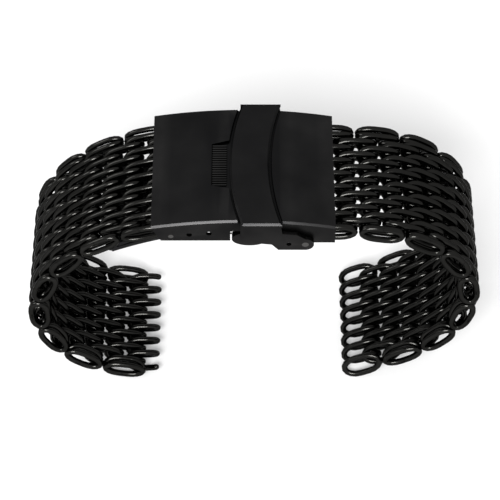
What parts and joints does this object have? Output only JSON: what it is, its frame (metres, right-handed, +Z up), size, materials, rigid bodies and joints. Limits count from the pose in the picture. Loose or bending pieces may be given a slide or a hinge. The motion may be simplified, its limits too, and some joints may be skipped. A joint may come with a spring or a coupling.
{
  "type": "mesh watch bracelet",
  "caption": "Arched wire mesh watch bracelet with a folding clasp, a safety flap across the cover and push buttons in its sides.",
  "frame": {"origin": "centre of the bounding box, on the surface the arch stands on", "axes": "+X along the clasp towards the safety flap's pivot, +Y across the strap, +Z up from the surface to the clasp's cover"},
  "size_m": [0.0752, 0.0252, 0.0458],
  "materials": {
    "mesh_wire": "black satin",
    "black_case": "black satin",
    "black_blade": "black brushed",
    "dark_latch": "dark satin",
    "dark_pin": "dark",
    "bright_pin": "bright",
    "spring_wire": "bright"
  },
  "bodies": {
    "cover": {"cover": "black_case", "fold_pin": "dark_pin", "flap_pins": "bright_pin", "catch_post": "dark_latch", "spring_bar": "dark_pin"},
    "middle_blade": {"middle_blade": "black_blade", "blade_pin": "dark_pin"},
    "inner_blade": {"inner_blade": "black_blade", "latch_frame": "dark_latch", "strap_pin": "dark_pin", "button_spring_near": "spring_wire", "button_spring_far": "spring_wire"},
    "push_button_near": {"push_button_near": "black_case"},
    "push_button_far": {"push_button_far": "black_case"},
    "safety_flap": {"safety_flap": "black_case"},
    "right_row_01": {"right_row_01": "mesh_wire"},
    "right_row_02": {"right_row_02": "mesh_wire"},
    "right_row_03": {"right_row_03": "mesh_wire"},
    "right_row_04": {"right_row_04": "mesh_wire"},
    "right_row_05": {"right_row_05": "mesh_wire"},
    "right_row_06": {"right_row_06": "mesh_wire"},
    "right_row_07": {"right_row_07": "mesh_wire"},
    "right_row_08": {"right_row_08": "mesh_wire"},
    "right_row_09": {"right_row_09": "mesh_wire"},
    "right_row_10": {"right_row_10": "mesh_wire"},
    "right_row_11": {"right_row_11": "mesh_wire"},
    "right_row_12": {"right_row_12": "mesh_wire"},
    "right_row_13": {"right_row_13": "mesh_wire"},
    "right_row_14": {"right_row_14": "mesh_wire"},
    "right_row_15": {"right_row_15": "mesh_wire"},
    "right_row_16": {"right_row_16": "mesh_wire"},
    "right_row_17": {"right_row_17": "mesh_wire"},
    "right_row_18": {"right_row_18": "mesh_wire"},
    "left_row_01": {"left_row_01": "mesh_wire"},
    "left_row_02": {"left_row_02": "mesh_wire"},
    "left_row_03": {"left_row_03": "mesh_wire"},
    "left_row_04": {"left_row_04": "mesh_wire"},
    "left_row_05": {"left_row_05": "mesh_wire"},
    "left_row_06": {"left_row_06": "mesh_wire"},
    "left_row_07": {"left_row_07": "mesh_wire"},
    "left_row_08": {"left_row_08": "mesh_wire"},
    "left_row_09": {"left_row_09": "mesh_wire"},
    "left_row_10": {"left_row_10": "mesh_wire"},
    "left_row_11": {"left_row_11": "mesh_wire"},
    "left_row_12": {"left_row_12": "mesh_wire"},
    "left_row_13": {"left_row_13": "mesh_wire"},
    "left_row_14": {"left_row_14": "mesh_wire"},
    "left_row_15": {"left_row_15": "mesh_wire"},
    "left_row_16": {"left_row_16": "mesh_wire"},
    "left_row_17": {"left_row_17": "mesh_wire"}
  },
  "joints": [
    {"name": "middle_fold", "type": "hinge", "parent": "cover", "child": "middle_blade", "pos_m": [0.00353, 0, 0.04302], "axis": [0, -1, 0], "range_deg": [0, 150]},
    {"name": "inner_fold", "type": "hinge", "parent": "middle_blade", "child": "inner_blade", "pos_m": [-0.02297, 0, 0.03412], "axis": [0, 1, 0], "range_deg": [0, 150]},
    {"name": "flap_hinge", "type": "hinge", "parent": "cover", "child": "safety_flap", "pos_m": [0.00813, 0, 0.04072], "axis": [0, 1, 0], "range_deg": [0, 105]},
    {"name": "near_button_slide", "type": "slide", "parent": "inner_blade", "child": "push_button_near", "axis": [0, 1, 0], "range_m": [0, 0.0006], "stiffness_N_per_m": 400, "deforming": ["button_spring_near"]},
    {"name": "far_button_slide", "type": "slide", "parent": "inner_blade", "child": "push_button_far", "axis": [0, -1, 0], "range_m": [0, 0.0006], "stiffness_N_per_m": 400, "deforming": ["button_spring_far"]},
    {"name": "right_hinge_01", "type": "hinge", "parent": "inner_blade", "child": "right_row_01", "pos_m": [0.00713, 0, 0.04127], "axis": [0, 1, 0], "range_deg": [0, 10]},
    {"name": "right_hinge_02", "type": "hinge", "parent": "right_row_01", "child": "right_row_02", "pos_m": [0.01078, 0, 0.04127], "axis": [0, 1, 0], "range_deg": [0, 16]},
    {"name": "right_hinge_03", "type": "hinge", "parent": "right_row_02", "child": "right_row_03", "pos_m": [0.01463, 0, 0.04127], "axis": [0, 1, 0], "range_deg": [-3, 13]},
    {"name": "right_hinge_04", "type": "hinge", "parent": "right_row_03", "child": "right_row_04", "pos_m": [0.01848, 0, 0.04106], "axis": [0, 1, 0], "range_deg": [-7, 9]},
    {"name": "right_hinge_05", "type": "hinge", "parent": "right_row_04", "child": "right_row_05", "pos_m": [0.02227, 0, 0.0404], "axis": [0, 1, 0], "range_deg": [-10.5, 5.5]},
    {"name": "right_hinge_06", "type": "hinge", "parent": "right_row_05", "child": "right_row_06", "pos_m": [0.02588, 0, 0.03905], "axis": [0, 1, 0], "range_deg": [-12, 4]},
    {"name": "right_hinge_07", "type": "hinge", "parent": "right_row_06", "child": "right_row_07", "pos_m": [0.02912, 0, 0.03698], "axis": [0, 1, 0], "range_deg": [-12.5, 3.5]},
    {"name": "right_hinge_08", "type": "hinge", "parent": "right_row_07", "child": "right_row_08", "pos_m": [0.03184, 0, 0.03426], "axis": [0, 1, 0], "range_deg": [-12, 4]},
    {"name": "right_hinge_09", "type": "hinge", "parent": "right_row_08", "child": "right_row_09", "pos_m": [0.03394, 0, 0.03103], "axis": [0, 1, 0], "range_deg": [-12, 4]},
    {"name": "right_hinge_10", "type": "hinge", "parent": "right_row_09", "child": "right_row_10", "pos_m": [0.03532, 0, 0.02743], "axis": [0, 1, 0], "range_deg": [-12, 4]},
    {"name": "right_hinge_11", "type": "hinge", "parent": "right_row_10", "child": "right_row_11", "pos_m": [0.03592, 0, 0.02363], "axis": [0, 1, 0], "range_deg": [-12.5, 3.5]},
    {"name": "right_hinge_12", "type": "hinge", "parent": "right_row_11", "child": "right_row_12", "pos_m": [0.03569, 0, 0.01979], "axis": [0, 1, 0], "range_deg": [-12.5, 3.5]},
    {"name": "right_hinge_13", "type": "hinge", "parent": "right_row_12", "child": "right_row_13", "pos_m": [0.03463, 0, 0.01609], "axis": [0, 1, 0], "range_deg": [-12.5, 3.5]},
    {"name": "right_hinge_14", "type": "hinge", "parent": "right_row_13", "child": "right_row_14", "pos_m": [0.03279, 0, 0.0127], "axis": [0, 1, 0], "range_deg": [-11.5, 4.5]},
    {"name": "right_hinge_15", "type": "hinge", "parent": "right_row_14", "child": "right_row_15", "pos_m": [0.03032, 0, 0.00975], "axis": [0, 1, 0], "range_deg": [-10, 6]},
    {"name": "right_hinge_16", "type": "hinge", "parent": "right_row_15", "child": "right_row_16", "pos_m": [0.02737, 0, 0.00728], "axis": [0, 1, 0], "range_deg": [-7.5, 8.5]},
    {"name": "right_hinge_17", "type": "hinge", "parent": "right_row_16", "child": "right_row_17", "pos_m": [0.02412, 0, 0.00521], "axis": [0, 1, 0], "range_deg": [-4.5, 11.5]},
    {"name": "right_hinge_18", "type": "hinge", "parent": "right_row_17", "child": "right_row_18", "pos_m": [0.02072, 0, 0.0034], "axis": [0, 1, 0], "range_deg": [-0.5, 15.5]},
    {"name": "left_hinge_01", "type": "hinge", "parent": "cover", "child": "left_row_01", "pos_m": [-0.01307, 0, 0.04166], "axis": [0, -1, 0], "range_deg": [-2, 4]},
    {"name": "left_hinge_02", "type": "hinge", "parent": "left_row_01", "child": "left_row_02", "pos_m": [-0.01578, 0, 0.04118], "axis": [0, -1, 0], "range_deg": [-6.5, 5.5]},
    {"name": "left_hinge_03", "type": "hinge", "parent": "left_row_02", "child": "left_row_03", "pos_m": [-0.01947, 0, 0.04009], "axis": [0, -1, 0], "range_deg": [-7.5, 7]},
    {"name": "left_hinge_04", "type": "hinge", "parent": "left_row_03", "child": "left_row_04", "pos_m": [-0.02298, 0, 0.03852], "axis": [0, -1, 0], "range_deg": [-8, 8]},
    {"name": "left_hinge_05", "type": "hinge", "parent": "left_row_04", "child": "left_row_05", "pos_m": [-0.02625, 0, 0.03648], "axis": [0, -1, 0], "range_deg": [-8.5, 7.5]},
    {"name": "left_hinge_06", "type": "hinge", "parent": "left_row_05", "child": "left_row_06", "pos_m": [-0.02918, 0, 0.03398], "axis": [0, -1, 0], "range_deg": [-8.5, 7.5]},
    {"name": "left_hinge_07", "type": "hinge", "parent": "left_row_06", "child": "left_row_07", "pos_m": [-0.0317, 0, 0.03108], "axis": [0, -1, 0], "range_deg": [-9, 7]},
    {"name": "left_hinge_08", "type": "hinge", "parent": "left_row_07", "child": "left_row_08", "pos_m": [-0.03374, 0, 0.02781], "axis": [0, -1, 0], "range_deg": [-10, 6]},
    {"name": "left_hinge_09", "type": "hinge", "parent": "left_row_08", "child": "left_row_09", "pos_m": [-0.03518, 0, 0.02424], "axis": [0, -1, 0], "range_deg": [-11, 5]},
    {"name": "left_hinge_10", "type": "hinge", "parent": "left_row_09", "child": "left_row_10", "pos_m": [-0.03592, 0, 0.02046], "axis": [0, -1, 0], "range_deg": [-12, 4]},
    {"name": "left_hinge_11", "type": "hinge", "parent": "left_row_10", "child": "left_row_11", "pos_m": [-0.03585, 0, 0.01662], "axis": [0, -1, 0], "range_deg": [-12.5, 3.5]},
    {"name": "left_hinge_12", "type": "hinge", "parent": "left_row_11", "child": "left_row_12", "pos_m": [-0.03495, 0, 0.01287], "axis": [0, -1, 0], "range_deg": [-13, 3]},
    {"name": "left_hinge_13", "type": "hinge", "parent": "left_row_12", "child": "left_row_13", "pos_m": [-0.03324, 0, 0.00943], "axis": [0, -1, 0], "range_deg": [-13, 3]},
    {"name": "left_hinge_14", "type": "hinge", "parent": "left_row_13", "child": "left_row_14", "pos_m": [-0.03079, 0, 0.00646], "axis": [0, -1, 0], "range_deg": [-13, 3]},
    {"name": "left_hinge_15", "type": "hinge", "parent": "left_row_14", "child": "left_row_15", "pos_m": [-0.02773, 0, 0.00411], "axis": [0, -1, 0], "range_deg": [-13, 3]},
    {"name": "left_hinge_16", "type": "hinge", "parent": "left_row_15", "child": "left_row_16", "pos_m": [-0.02423, 0, 0.00251], "axis": [0, -1, 0], "range_deg": [-13, 3]},
    {"name": "left_hinge_17", "type": "hinge", "parent": "left_row_16", "child": "left_row_17", "pos_m": [-0.02046, 0, 0.00175], "axis": [0, -1, 0], "range_deg": [-13, 3]}
  ],
  "couplings": [
    {"joint": "middle_fold", "follows": "inner_fold", "ratio": 1}
  ]
}
